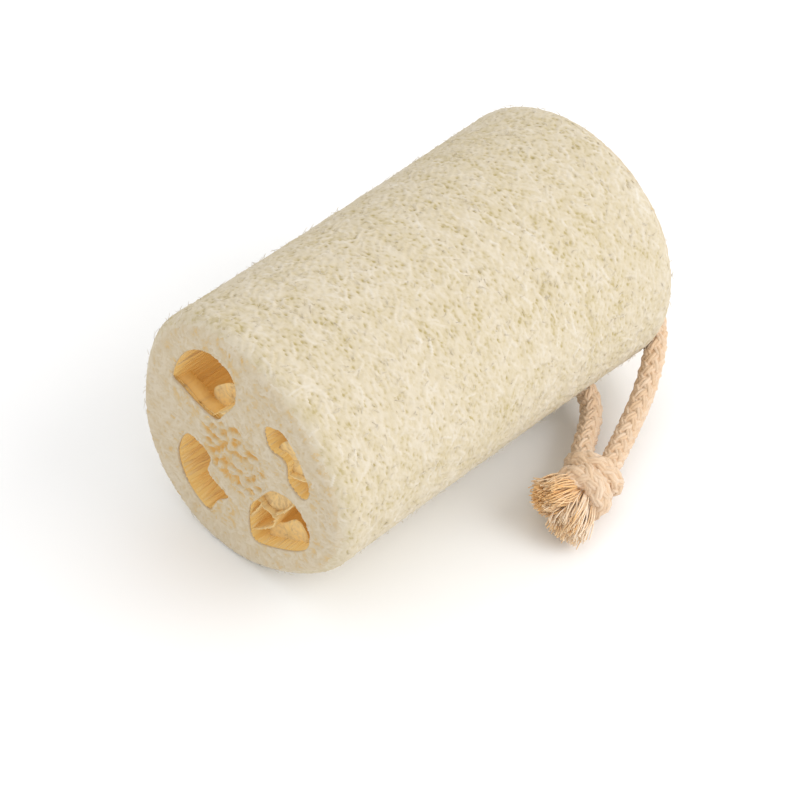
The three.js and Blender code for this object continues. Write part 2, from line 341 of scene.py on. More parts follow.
def knot_turn(along, tilt, roll):
    """One tilted turn of rope round the knot's axis, a little over a full circle."""
    sweep = np.radians(np.linspace(0, TURN_SWEEP, TURN_POINTS))
    tuck = np.abs(np.linspace(-1, 1, TURN_POINTS)) ** TUCK_SHARPNESS
    ring = (TURN_RADIUS - TUCK_IN * tuck)[:, None] * np.stack([np.cos(sweep), np.sin(sweep)], -1)
    tilt, roll = math.radians(tilt), math.radians(roll)
    flat_y, rise = ring[:, 1] * math.cos(tilt), ring[:, 1] * math.sin(tilt)
    side = ring[:, 0] * math.cos(roll) - flat_y * math.sin(roll)
    up = ring[:, 0] * math.sin(roll) + flat_y * math.cos(roll)
    rise = rise + np.linspace(-TURN_RISE, TURN_RISE, TURN_POINTS) + along
    across = KNOT_CENTRE + side[:, None] * knot_side + up[:, None] * knot_up
    return across + rise[:, None] * KNOT_AXIS


def above_floor(shape):
    """Lifts the few points of a shape that would reach below what the sponge lies on."""
    points, tones, faces = shape
    points[:, 2] = np.maximum(points[:, 2], FLOOR_GAP)
    return points, tones, faces


knot_dice = np.random.default_rng(12)
knot_shapes = []
for turn in TURNS:
    turn_line = smooth_line(knot_turn(**turn), BRAID_STEP)
    knot_shapes += [above_floor(shape) for shape in braid(turn_line, knot_dice)]
core_place = np.linspace(-1, 1, KNOT_CORE_POINTS)
core_line = KNOT_CENTRE + np.linspace(-KNOT_CORE, KNOT_CORE, KNOT_CORE_POINTS)[:, None] * KNOT_AXIS
core_radius = KNOT_CORE * np.sqrt(np.maximum(1 - core_place**2, 0.02))
knot_shapes.append(tubes(core_line[None], knot_up, core_radius, KNOT_CORE_SIDES, 0.0))
knot = make_piece("rope_knot_turns", knot_shapes, cotton)
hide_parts("rope_knot")


# The two cut ends of the rope behind the knot, unbraided into loose yarns that splay like a brush.
# They are the same cotton, one end browner than the other, and they are held by the knot.
FRAYED_ENDS = [
    {"direction": (-0.95, 0.24, 0.18), "length": 16.5, "colour": (-0.15, 0.5)},
    {"direction": (-0.9, -0.36, -0.24), "length": 17.5, "colour": (0.3, 0.9)},
]
CLUMPS = 26
YARNS_IN_CLUMP = 24
CLUMP_RADIUS = 0.75
FRAY_START = 2.4
FRAY_SPLAY = 4.6
FRAY_CURL = 0.6
FRAYED_YARN_RADIUS = 0.2
FRAYED_YARN_SIDES = 4
FRAYED_YARN_LENGTHS = (0.86, 1.03)
FRAYED_TONE_SPREAD = 0.15
CLUMP_LENGTHS = (0.86, 1.0)
CLUMP_STRAY = 0.5
GOLDEN_ANGLE = 2.4
FRAY_STEPS = 7

# Frayed cotton: the same yarn, but loose, so that light goes through it and it looks warmer.
frayed_cotton = cotton_material(
    "cotton_frayed",
    [(0.0, (238, 191, 128)), (0.5, (240, 209, 169)), (1.0, (245, 226, 203))],
)


def frayed_end(direction, length, colour, dice):
    """Loose yarns that leave the knot together and splay out in clumps, one for each unlaid yarn."""
    direction = unit(np.array(direction))
    side = unit(np.cross((0.0, 0.0, 1.0), direction))
    up = np.cross(direction, side)
    count = CLUMPS * YARNS_IN_CLUMP
    step = np.linspace(0, 1, FRAY_STEPS)[:, None]
    clump = np.arange(count) // YARNS_IN_CLUMP
    clump_angle = GOLDEN_ANGLE * np.arange(CLUMPS) + dice.uniform(-0.3, 0.3, CLUMPS)
    clump_share = np.sqrt((np.arange(CLUMPS) + 0.5) / CLUMPS)
    clump_reach = dice.uniform(*CLUMP_LENGTHS, CLUMPS) * (1.02 - 0.16 * clump_share**2)
    splay = FRAY_START + (FRAY_SPLAY - FRAY_START) * np.minimum(1, step * 1.4) ** 0.8
    stray = dice.normal(0, CLUMP_STRAY, (2, 1, count)) * CLUMP_RADIUS * (0.6 + 0.9 * step)
    curl = dice.normal(0, FRAY_CURL, (2, 1, count)) * np.sin(step * dice.uniform(2, 5, count))
    sideways = splay * (clump_share * np.cos(clump_angle))[clump] + stray[0] + curl[0]
    upward = splay * (clump_share * np.sin(clump_angle))[clump] + stray[1] + curl[1]
    onward = length * (0.2 + 0.8 * step) * clump_reach[clump] * dice.uniform(*FRAYED_YARN_LENGTHS, count)
    paths = KNOT_CENTRE + sum(
        distance.T[..., None] * way
        for distance, way in ((onward, direction), (sideways, side), (upward, up))
    )
    radius = FRAYED_YARN_RADIUS * np.linspace(1.2, 0.8, FRAY_STEPS)
    tone = dice.uniform(*colour, CLUMPS)[clump] + dice.normal(0, FRAYED_TONE_SPREAD, count)
    return above_floor(tubes(paths, up, radius, FRAYED_YARN_SIDES, tone[:, None]))


fray_dice = np.random.default_rng(13)
frayed_shapes = [frayed_end(dice=fray_dice, **end) for end in FRAYED_ENDS]
frayed = make_piece("rope_frayed_ends", frayed_shapes, frayed_cotton)


# The loofah's inner body: the dense fibre under the skin, with four seed chambers right through it.
# It is plant fibre grown in one piece; the seeds fell out when it dried, and the chambers stayed empty.
# Angles run round the sponge's own axis, from the side away from the rope and over the top.
LENGTH = 120.0
RADIUS = 37.6
AXIS_HEIGHT = 37.0
WAIST = 0.4
NEAR_OVAL = 0.071
NEAR_LOBE = 0.039
BULGE_ANGLE = math.radians(-56)
NEAR_ROUNDING = 4.6
FAR_ROUNDING = 6.7
BODY_DEPTH = 1.6
FACE_DEPTH = 0.7
BODY_COLUMNS = 150
BODY_ROWS = 60
CORE_RADIUS = 12.5
CORE_DEPTH = 1.4
# The chambers' amber tone is painted glow; the tan tone is the flesh's own colour.
PAINTED_GLOW_TONE = 0.3
TAN_TONE = -0.3
ROPE_CLEARANCE = 0.3
ROPE_WAY_SIDES = 16
CORE_SIDES = 40
CHAMBERS = {
    "upper": [
        (20.5, 12), (14, 25), (5, 30), (-2, 27.5),
        (-2.5, 20), (4, 12), (12, 4.5), (19.5, 4),
    ],
    "lower": [
        (21.5, -13), (16, -3.5), (9, -6), (10, -12.5),
        (-0.5, -17), (2, -26.5), (11, -27.5), (19.5, -22),
    ],
    "side": [
        (-4.5, -14), (-8, -8), (-14.5, -0.5), (-21, 0),
        (-25.5, -5), (-24.5, -12.5), (-14, -21), (-5, -24.5),
    ],
    "small": [
        (-12.5, 19), (-18.5, 21.5), (-24, 15.5), (-26.5, 7.5),
        (-24, 4), (-19.5, 6), (-18.5, 12), (-13.5, 13),
    ],
}


def barrel_radius(angle, x):
    """The outer radius before the rims are rounded: oval and lobed at the near end, round at the far."""
    along = np.clip(x / LENGTH + 0.5, 0, 1)
    bulge = angle - BULGE_ANGLE
    lobed = 1 + (1 - along) * (NEAR_OVAL * np.cos(2 * bulge) + NEAR_LOBE * np.cos(3 * bulge))
    return RADIUS * lobed - WAIST * np.sin(np.pi * along)


def skin_radius(angle, x):
    """The sponge's outer radius, with its rims rounded off."""
    rounding = np.where(x < 0, NEAR_ROUNDING, FAR_ROUNDING)
    past = np.clip((np.abs(x) - (LENGTH / 2 - rounding)) / rounding, 0, 1)
    return barrel_radius(angle, x) - rounding * (1 - np.sqrt(1 - past**2))


def on_skin(angle, x, lift=0.0):
    """Points on the sponge's skin, or lifted off it, pressed flat where it lies on the floor."""
    radius = skin_radius(angle, x) + lift
    points = np.stack([
        x + np.zeros_like(radius),
        radius * np.cos(angle),
        AXIS_HEIGHT + radius * np.sin(angle),
    ], -1)
    points[..., 2] = np.maximum(points[..., 2], FLOOR_GAP - 0.1 + 0.25 * np.clip(-lift, 0, 4))
    return points


def grid_faces(rows, columns):
    """Faces of a grid of points that closes on itself along each row, with its two ends closed."""
    index = np.arange(rows * columns).reshape(rows, columns)
    near, far = index[:-1], index[1:]
    walls = np.stack([near, np.roll(near, -1, 1), np.roll(far, -1, 1), far], -1).reshape(-1, 4)
    return [walls, index[:1, ::-1], index[-1:]]


def cut(piece, cutters):
    """Cuts the cutters out of a piece for good."""
    for cutter in cutters:
        boolean = piece.modifiers.new("cut", "BOOLEAN")
        boolean.operation = "DIFFERENCE"
        boolean.solver = "MANIFOLD"
        boolean.object = cutter
    depsgraph = bpy.context.evaluated_depsgraph_get()
    done = bpy.data.meshes.new_from_object(piece.evaluated_get(depsgraph))
    piece.modifiers.clear()
    old = piece.data
    piece.data = done
    bpy.data.meshes.remove(old)
    for cutter in cutters:
        bpy.data.meshes.remove(cutter.data)


# Loofah flesh: tan under the skin, and amber in the chambers: painted glow of the light that comes through
# the thin walls and bounces between them. A little emission stands for that light too.
flesh, flesh_shader, add, link = principled("loofah_flesh", 0.85)
place = add("ShaderNodeTexCoord")
grain = add("ShaderNodeMapping", [("Vector", place.outputs["Object"]), ("Scale", (0.12, 1.0, 1.0))])
grain_noise = add("ShaderNodeTexNoise", [("Vector", grain.outputs[0]), ("Scale", 700.0), ("Detail", 3.0)])
depth_tone = add("ShaderNodeAttribute", attribute_name="tone")
grain_and_glow = add(
    "ShaderNodeMath",
    [(0, grain_noise.outputs["Fac"]), (1, 0.9), (2, depth_tone.outputs["Fac"])],
    operation="MULTIPLY_ADD",
)
# The ramp's amber end, reached on the inner faces, is painted glow of light through the walls.
flesh_ramp = add("ShaderNodeValToRGB", [("Fac", grain_and_glow.outputs[0])])
ramp_colours(
    flesh_ramp,
    [(0.0, (204, 172, 122)), (0.25, (214, 186, 134)), (0.6, (216, 186, 122)), (0.9, (208, 166, 92))],
)
link(flesh_ramp.outputs["Color"], flesh_shader.inputs["Base Color"])
glow_ramp = add("ShaderNodeValToRGB", [("Fac", grain_and_glow.outputs[0])])
ramp_colours(glow_ramp, [(0.05, (0, 0, 0)), (0.45, (232, 180, 98))])
link(glow_ramp.outputs["Color"], flesh_shader.inputs["Emission Color"])
flesh_shader.inputs["Emission Strength"].default_value = 0.205
flesh_bump = add(
    "ShaderNodeBump",
    [("Height", grain_noise.outputs["Fac"]), ("Strength", 0.6), ("Distance", 0.0004)],
)
link(flesh_bump.outputs["Normal"], flesh_shader.inputs["Normal"])

body_x, body_angle = np.meshgrid(
    np.linspace(-LENGTH / 2 + FACE_DEPTH, LENGTH / 2 - FACE_DEPTH, BODY_ROWS),
    np.linspace(0, 2 * np.pi, BODY_COLUMNS, endpoint=False),
    indexing="ij",
)
body_points = on_skin(body_angle, body_x, -BODY_DEPTH).reshape(-1, 3)
body_shape = (body_points, np.zeros(len(body_points)), grid_faces(BODY_ROWS, BODY_COLUMNS))
body = make_piece("loofah_body", [body_shape], flesh)


def prism(outline, x_low, x_high, name):
    """A closed solid that sweeps an outline (y, height) along the sponge, for cutting."""
    ring = np.array(outline)
    points = np.concatenate([
        np.column_stack([np.full(len(ring), x), ring[:, 0], ring[:, 1]])
        for x in (x_low, x_high)
    ])
    return make_piece(name, [(points, np.zeros(len(points)), grid_faces(2, len(ring)))], flesh)


def chamber_ring(outline, spacing):
    """A chamber's smooth outline, in y and height above the floor, turning from +Y to +Z."""
    ring = smooth_line(outline, spacing, closed=True)[:-1]
    return ring + (0, AXIS_HEIGHT)


cutters = []
for chamber, outline in CHAMBERS.items():
    cutters.append(prism(chamber_ring(outline, 1.2), -LENGTH, LENGTH, "cut_" + chamber))
core_angle = np.linspace(0, 2 * np.pi, CORE_SIDES, endpoint=False)
core_ring = np.column_stack([
    CORE_RADIUS * np.cos(core_angle),
    AXIS_HEIGHT + CORE_RADIUS * np.sin(core_angle),
])
for side in (-1, 1):
    floor_x = side * (LENGTH / 2 - FACE_DEPTH - CORE_DEPTH)
    cutters.append(prism(core_ring, *sorted((floor_x, side * LENGTH)), "cut_core"))
rope_way = ROPE_DIAMETER / METRES / 2 + ROPE_CLEARANCE
channel = tubes(rope_line[None], carried_frame(rope_line)[0][None], rope_way, ROPE_WAY_SIDES, 0.0)
cutters.append(make_piece("cut_rope_way", [channel], flesh))
cut(body, cutters)

face_place = np.array([face.center for face in body.data.polygons]) / METRES
face_normal = np.array([face.normal for face in body.data.polygons])
face_angle = np.arctan2(face_place[:, 2] - AXIS_HEIGHT, face_place[:, 1])
from_axis = np.hypot(face_place[:, 1], face_place[:, 2] - AXIS_HEIGHT)
inner = skin_radius(face_angle, face_place[:, 0]) - from_axis > BODY_DEPTH + 0.6
in_cut = np.abs(face_normal[:, 0]) > 0.9
in_core = in_cut & (np.abs(face_place[:, 0]) < LENGTH / 2 - FACE_DEPTH - 0.1)
body.data.attributes.remove(body.data.attributes["tone"])
face_tone = body.data.attributes.new("tone", "FLOAT", "FACE")
# Faces inside the chambers, the rope's way and the core's recess get the amber tone: painted glow of light
# through the thin walls.
painted_glow = in_core | (inner & ~in_cut)
face_tone.data.foreach_set("value", np.where(painted_glow, PAINTED_GLOW_TONE, TAN_TONE))
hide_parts("loofah")


# The skin: the loofah's outermost fibres, matted into one thin felt that is grown onto the body.
# Its threads lie mostly round the sponge, over each other, with small pores in slanting rows between them.
SKIN_COLUMNS = 720
SKIN_ROWS = 366
SKIN_BANDS = 3
SKIN_CROWDING = 0.25
CROWDED_ANGLE = 2.2
SKIN_DEPTH = 0.3
RIM_DEPTH = 0.45
SKIN_THREADS = 19000
SKIN_THREAD_LENGTHS = (2, 5.5)
SKIN_THREAD_SLANT = 0.5
THREAD_STEPS = 18
THREAD_REACH = 0.36
THREAD_RISE = 0.12
PORE_COLUMNS = 104
PORE_PITCH = 0.78
PORE_DEPTH = 0.45
PORE_LENGTH = 0.48
PORE_WIDTH = 0.27
PORE_STRENGTHS = [0.15, 0.35, 0.6, 1.0]
PORE_SHARES = [0.24, 0.36, 0.26, 0.14]
PORE_JITTER = 0.3
PORE_PAINTED_SHADE = 0.5
BARE_RIM = 8.0
OPEN_ANGLE = 1.4
OPEN_MEAN = 0.72
OPEN_SWING = 0.28
FELT_MIDDLE = 1.4
SKIN_WAVE = 0.06
SKIN_TONE = 0.34
SKIN_BLOTCH = 0.04
SPECK_STRETCH = 0.3


def even_along(count):
    """Places along the sponge, evenly spaced over its rounded rims too, and how far along they come."""
    x = np.linspace(-LENGTH / 2 + 0.03, LENGTH / 2 - 0.03, 4000)
    reached = lengths_along(np.stack([x, skin_radius(0.0, x)], -1))
    even = np.linspace(0, reached[-1], count)
    return np.interp(even, reached, x)[:, None], even[:, None]


def wander(angle, x, dice, wavelength, count=7):
    """A smooth random field on the sponge's skin, about -1 to 1, that closes round it."""
    total = np.zeros(np.broadcast(angle, x).shape)
    for _ in range(count):
        way = dice.integers(-1, 2)
        turns = way * round(2 * np.pi * RADIUS / wavelength / dice.uniform(0.8, 1.8))
        pace = 2 * np.pi / wavelength * dice.uniform(-1, 1)
        total += np.cos(turns * angle + pace * x + dice.uniform(0, 2 * np.pi))
    return total / math.sqrt(count / 2)


def pores(angle, along, dice):
    """How deep the skin dips at each point, 0 to 1: lens-shaped pores on a loose slanting lattice."""
    rows = int(along.max() / PORE_PITCH) + 3
    shift_round, shift_along = dice.uniform(-PORE_JITTER, PORE_JITTER, (2, rows, PORE_COLUMNS))
    strength = dice.choice(PORE_STRENGTHS, (rows, PORE_COLUMNS), p=PORE_SHARES)
    lattice_row = np.floor(along / PORE_PITCH).astype(int) + 1
    column_width = 2 * np.pi * RADIUS / PORE_COLUMNS
    dip = np.zeros(np.broadcast(angle, along).shape)
    for row_step in (-1, 0, 1):
        row = lattice_row + row_step
        round_place = angle / (2 * np.pi) * PORE_COLUMNS - 0.5 * (row % 2)
        for column_step in (0, 1):
            column = np.floor(round_place).astype(int) + column_step
            pick = row, column % PORE_COLUMNS
            off_round = (round_place - column - shift_round[pick]) * column_width / PORE_LENGTH
            off_along = (along - (row - 0.5 + shift_along[pick]) * PORE_PITCH) / PORE_WIDTH
            dip = np.maximum(dip, strength[pick] * np.exp(-off_round**2 - off_along**2))
    return dip


def thread_runs(count, length, slant, dice):
    """How far curled threads run from their starts, along and across; slant spreads their headings."""
    curl = np.linspace(-1, 1, THREAD_STEPS) * dice.normal(0, 0.35, (count, 1))
    heading = dice.normal(0, slant, (count, 1)) + np.pi * dice.integers(0, 2, (count, 1)) + curl
    step = dice.uniform(*length, (count, 1)) / THREAD_STEPS
    return np.cumsum(step * np.cos(heading), 1), np.cumsum(step * np.sin(heading), 1)


def matted(row, column, row_gap, column_gap, shape, dice):
    """Height and tone of a felt of threads that lie over each other; their paths are in grid steps. Lower
    threads and the bare gaps between threads get a darker tone: painted shade.
    """
    proud = dice.uniform(0, 1, (len(row), 1)) > 0.99
    sunk_ends = 0.5 * np.linspace(-1, 1, THREAD_STEPS) ** 4
    level = dice.uniform(0, 1, (len(row), 1)) - sunk_ends + 0.5 * proud
    # Higher threads are paler: painted shade on the lower ones. The random part is the threads' own tone.
    shade = dice.normal(0, 0.08, (len(row), 1)) + 0.25 * level
    cells, heights, tones = [], [], []
    for row_step in (-1, 0, 1):
        for column_step in (-1, 0, 1):
            cell_row = np.rint(row).astype(int) + row_step
            cell_column = np.rint(column).astype(int) + column_step
            off = np.hypot((cell_row - row) * row_gap, (cell_column - column) * column_gap)
            off = off / THREAD_REACH
            hit = (off < 1) & (cell_row >= 0) & (cell_row < shape[0])
            cells.append((cell_row * shape[1] + cell_column % shape[1])[hit])
            heights.append((level + 1 - off**2)[hit])
            tones.append(shade[hit])
    cells, heights, tones = (np.concatenate(part) for part in (cells, heights, tones))
    order = np.argsort(heights)
    height, tone = np.zeros((2, shape[0] * shape[1]))
    height[cells[order]] = heights[order]
    tone[cells[order]] = tones[order]
    return height.reshape(shape), tone.reshape(shape)


def clear_of_rope(paths):
    """Pushes points out of the rope's way, as the rope spreads the fibres where it goes through."""
    shape = paths.shape
    paths = paths.reshape(-1, 3)
    low, high = rope_line.min(0) - 5, rope_line.max(0) + 5
    near = np.flatnonzero(((paths > low) & (paths < high)).all(1))
    offset = paths[near][:, None] - rope_line[None]
    distance = np.linalg.norm(offset, axis=-1)
    closest = distance.argmin(1)
    pick = np.arange(len(near))
    distance = distance[pick, closest][:, None]
    room = ROPE_DIAMETER / METRES / 2 + 0.45
    push = offset[pick, closest] * np.maximum(room / np.maximum(distance, 0.05), 1)
    paths[near] = rope_line[closest] + push
    return paths.reshape(shape)


# Fibre grain: greyer patches, and fine specks drawn out round the sponge, on each thread's own tone.
fibre_grain, add, given = effect_group("fibre_grain", ["Patches", "Specks"], ["Tone", "Height"])
place = add("ShaderNodeTexCoord")
patch = add(
    "ShaderNodeTexNoise",
    [("Vector", place.outputs["Object"]), ("Scale", 60.0), ("Detail", 2.0)],
)
spot = add("ShaderNodeSeparateXYZ", [(0, place.outputs["Object"])])
rise = add(
    "ShaderNodeMath",
    [(0, spot.outputs["Z"]), (1, AXIS_HEIGHT * METRES)],
    operation="SUBTRACT",
)
round_angle = add("ShaderNodeMath", [(0, spot.outputs["Y"]), (1, rise.outputs[0])], operation="ARCTAN2")
round_way = add(
    "ShaderNodeMath",
    [(0, round_angle.outputs[0]), (1, RADIUS * METRES * SPECK_STRETCH)],
    operation="MULTIPLY",
)
unrolled = add("ShaderNodeCombineXYZ", [("X", spot.outputs["X"]), ("Y", round_way.outputs[0])])
grain = add(
    "ShaderNodeTexNoise",
    [("Vector", unrolled.outputs[0]), ("Scale", 1500.0), ("Detail", 3.0), ("Distortion", 1.0)],
)
thread_tone = add("ShaderNodeAttribute", attribute_name="tone")
patchy = add(
    "ShaderNodeMath",
    [(0, patch.outputs["Fac"]), (1, given.outputs["Patches"]), (2, thread_tone.outputs["Fac"])],
    operation="MULTIPLY_ADD",
)
specked = add(
    "ShaderNodeMath",
    [(0, grain.outputs["Fac"]), (1, given.outputs["Specks"]), (2, patchy.outputs[0])],
    operation="MULTIPLY_ADD",
)
both = add(
    "ShaderNodeMath",
    [(0, given.outputs["Patches"]), (1, given.outputs["Specks"])],
    operation="ADD",
)
middle = add("ShaderNodeMath", [(0, both.outputs[0]), (1, 0.5)], operation="MULTIPLY")
centred = add("ShaderNodeMath", [(0, specked.outputs[0]), (1, middle.outputs[0])], operation="SUBTRACT")
add("NodeGroupOutput", [("Tone", centred.outputs[0]), ("Height", grain.outputs["Fac"])])


def fibre_material(name, colours):
    """Dried loofah fibre, matt; its colours run from the deepest tone to the palest."""
    material, shader, add, link = principled(name, 0.85)
    shader.inputs["Specular IOR Level"].default_value = 0.2
    grain = add("ShaderNodeGroup", node_tree=fibre_grain, links=[("Patches", 0.3), ("Specks", 0.3)])
    ramp = add("ShaderNodeValToRGB", [("Fac", grain.outputs["Tone"])])
    ramp_colours(ramp, colours)
    link(ramp.outputs["Color"], shader.inputs["Base Color"])
    bump = add(
        "ShaderNodeBump",
        [("Height", grain.outputs["Height"]), ("Strength", 0.3), ("Distance", 0.0003)],
    )
    link(bump.outputs["Normal"], shader.inputs["Normal"])
    return material


# The skin's fibre is pale cream; its tan deepest tone is painted shade, in the pores and between the
# threads.
fibre = fibre_material(
    "loofah_skin_fibre",
    [(0.0, (180, 164, 118)), (0.3, (203, 190, 162)), (0.6, (211, 200, 179)), (1.0, (220, 213, 200))],
)

skin_dice = np.random.default_rng(21)
skin_x, skin_along = even_along(SKIN_ROWS)
skin_turn = 2 * np.pi * np.arange(SKIN_COLUMNS)[None] / SKIN_COLUMNS
skin_angle = skin_turn - SKIN_CROWDING * np.sin(skin_turn - CROWDED_ANGLE)
from_rim = np.minimum(skin_along, skin_along[-1] - skin_along)
dip = pores(skin_angle, skin_along, skin_dice) * np.clip(from_rim / BARE_RIM, 0.1, 1)
dip = dip * (OPEN_MEAN + OPEN_SWING * np.cos(skin_angle - OPEN_ANGLE))

round_run, along_run = thread_runs(SKIN_THREADS, SKIN_THREAD_LENGTHS, SKIN_THREAD_SLANT, skin_dice)
thread_row = skin_dice.uniform(0, SKIN_ROWS, (SKIN_THREADS, 1)) + along_run / skin_along[1]
thread_angle = skin_dice.uniform(0, 2 * np.pi, (SKIN_THREADS, 1)) + round_run / RADIUS
turn = np.linspace(0, 2 * np.pi, 4000)
crowded = turn - SKIN_CROWDING * np.sin(turn - CROWDED_ANGLE)
thread_turn = np.interp((thread_angle - crowded[0]) % (2 * np.pi) + crowded[0], crowded, turn)
crowding = 1 - SKIN_CROWDING * np.cos(thread_turn - CROWDED_ANGLE)
column_gap = 2 * np.pi * RADIUS / SKIN_COLUMNS * crowding
thread_column = thread_turn * SKIN_COLUMNS / (2 * np.pi)
grid = (SKIN_ROWS, SKIN_COLUMNS)
felt_height, felt_tone_and_shade = matted(
    thread_row, thread_column, skin_along[1], column_gap, grid, skin_dice,
)
dip = dip * np.clip(2.3 - felt_height, 0.2, 1)
waves = SKIN_WAVE * wander(skin_angle, skin_x, skin_dice, 2.5, 12)
relief = waves + THREAD_RISE * (felt_height - FELT_MIDDLE)
skin_lift = relief - SKIN_DEPTH - PORE_DEPTH * dip
blotches = SKIN_BLOTCH * wander(skin_angle, skin_x, skin_dice, 8)
# Pores are painted darker tan where they dip: painted shade in the pores.
skin_tone = SKIN_TONE + blotches + felt_tone_and_shade - PORE_PAINTED_SHADE * dip
tuck = np.array([2.4, 1.2])[:, None]
skin_lift = np.concatenate([skin_lift[0] - tuck, skin_lift, skin_lift[-1] - tuck[::-1]])
skin_tone = np.concatenate([skin_tone[[0, 0]], skin_tone, skin_tone[[-1, -1]]])
skin_x = np.concatenate([skin_x[0] + 0.5 * tuck, skin_x, skin_x[-1] - 0.5 * tuck[::-1]])
skin_points = on_skin(skin_angle, skin_x, skin_lift)
skin_points[..., 0] *= 1 - 2 * RIM_DEPTH / LENGTH
skin_points = clear_of_rope(skin_points)
ends = np.linspace(0, len(skin_x) - 1, SKIN_BANDS + 1).astype(int)
for band in range(SKIN_BANDS):
    rows = slice(ends[band], ends[band + 1] + 1)
    points = skin_points[rows].reshape(-1, 3)
    walls = grid_faces(len(points) // SKIN_COLUMNS, SKIN_COLUMNS)[:1]
    shape = (points, skin_tone[rows].ravel(), walls)
    skin = make_piece("loofah_skin_" + str(band + 1), [shape], fibre)


# Fuzz: the broken tips of single fibres, grown into the skin and standing about half a millimetre off it.
# They are the same dried fibre, and they make the sponge's outline soft.
TIPS = 1800
TIP_POINTS = 4
TIP_RADIUS = 0.085
TIP_SIDES = 3
TIP_RISE = (-0.5, 0.6)
TIP_LENGTHS = (0.8, 2.4)
TIP_SLANT = 1.2
TIP_TONES = (0.5, 1)


def strands_on_skin(count, points, length, slant, lift, dice):
    """Paths of threads that wander over the skin; slant is the spread of their directions."""
    heading = dice.normal(0, slant, (count, 1)) + np.pi * dice.integers(0, 2, (count, 1))
    heading = heading + np.linspace(-1, 1, points) * dice.normal(0, 0.4, (count, 1))
    step = dice.uniform(*length, (count, 1)) / (points - 1)
    x = dice.uniform(-LENGTH / 2 + 0.8, LENGTH / 2 - 0.8, (count, 1))
    x = x + np.cumsum(step * np.sin(heading), 1)
    x = np.clip(x, -LENGTH / 2 + 0.3, LENGTH / 2 - 0.3)
    angle = dice.uniform(0, 2 * np.pi, (count, 1)) + np.cumsum(step * np.cos(heading), 1) / RADIUS
    return on_skin(angle, x, lift), np.stack([0 * x, np.cos(angle), np.sin(angle)], -1)


tip_dice = np.random.default_rng(24)
tip_rise = np.linspace(*TIP_RISE, TIP_POINTS) * tip_dice.uniform(0.2, 1.0, (TIPS, 1))
tip_paths, tip_outward = strands_on_skin(
    TIPS, TIP_POINTS, TIP_LENGTHS, TIP_SLANT, tip_rise, tip_dice,
)
tip_thick = TIP_RADIUS * np.linspace(1, 0.4, TIP_POINTS)
tip_tone = tip_dice.uniform(*TIP_TONES, (TIPS, 1))
tip_shape = tubes(clear_of_rope(tip_paths), tip_outward, tip_thick, TIP_SIDES, tip_tone)
tips = make_piece("loofah_fuzz", [tip_shape], fibre)


# The two cut ends: sawn across, so the wall, the webs and the core show as felted fibre ends.
# The fibres lie criss-cross and round off over the rim. The core has shallow hollows, painted amber: a
# painted glow of light from deeper in the fibre.
# Dry skin closes part of the upper and the lower chamber at the cut, so their openings are smaller.
CUT_PITCH = 0.32
CUT_THREADS = 5600
CUT_THREAD_LENGTHS = (1.6, 4)
CUT_THREAD_SLANT = 3.0
CUT_DEPTH = 0.25
CUT_RELIEF = 1.3
HOLLOWS_RADIUS = 12.5
HOLLOW_SIZE = 3.4
HOLLOW_DEPTH = 0.7
RIM_TUCK = 0.9
EDGE_RADIUS = 0.36
EDGE_SIDES = 6
EDGE_INSET = 0.3
EDGE_TONE = 0.45
CUT_TONE = 0.36
CUT_BLOTCH = 0.05
THREAD_CONTRAST = 0.8
CORE_STAIN = 0.09
HOLLOW_PAINTED_GLOW = 0.3
DRY_SKIN_STAIN = 0.13
CUT_OPENINGS = {
    **CHAMBERS,
    "upper": [
        (20.3, 12.4), (14, 25), (5, 30), (-2, 27.5), (-2.5, 20),
        (2.2, 12.6), (5.4, 8.8), (12.3, 9.4), (17.6, 11.4),
    ],
    "lower": [
        (21.5, -13), (16, -3.5), (9, -6), (10, -12.5),
        (3.4, -16), (7.6, -20.6), (11.8, -27), (19.5, -22),
    ],
}

# The cut fibre is the same as the skin's, but its deepest tone is the flesh's amber: painted glow where the
# cut is deep.
cut_fibre = fibre_material(
    "loofah_cut_fibre",
    [(0.0, (206, 160, 92)), (0.2, (203, 176, 130)), (0.36, (200, 184, 155)), (0.6, (207, 194, 171))],
)


def inside(points, outline):
    """Which of the points (y, height) lie inside a closed outline, by counting the sides they cross."""
    y, h = points[:, 0][:, None], points[:, 1][:, None]
    y0, h0 = outline[:, 0], outline[:, 1]
    y1, h1 = np.roll(y0, -1), np.roll(h0, -1)
    crosses = ((h0 > h) != (h1 > h)) & (y < (y1 - y0) * (h - h0) / (h1 - h0 + 1e-9) + y0)
    return crosses.sum(1) % 2 == 1


def rim_drop(flat, side):
    """How far the rounded rim falls back from the flat of a cut end, at points (y, height)."""
    angle = np.arctan2(flat[..., 1] - AXIS_HEIGHT, flat[..., 0])
    rounding = NEAR_ROUNDING if side < 0 else FAR_ROUNDING
    from_axis = np.hypot(flat[..., 0], flat[..., 1] - AXIS_HEIGHT)
    past = from_axis - barrel_radius(angle, np.array(side * LENGTH / 2)) + rounding
    return rounding - np.sqrt(rounding**2 - np.clip(past, 0, rounding * 0.98) ** 2)


def cloudy(flat, dice, wavelength):
    """A smooth random field over points (y, height), about -1 to 1."""
    total = np.zeros(flat.shape[:-1])
    for _ in range(12):
        way = dice.uniform(0, 2 * np.pi)
        pace = 2 * np.pi / wavelength * dice.uniform(0.6, 1.4)
        along = flat[..., 0] * math.cos(way) + flat[..., 1] * math.sin(way)
        total += np.cos(pace * along + dice.uniform(0, 2 * np.pi))
    return total / math.sqrt(6)


def inside_any(flat, outlines):
    """Which points of a grid (y, height) lie inside one of several outlines."""
    hits = [inside(flat.reshape(-1, 2), outline) for outline in outlines]
    return np.any(hits, 0).reshape(flat.shape[:2])


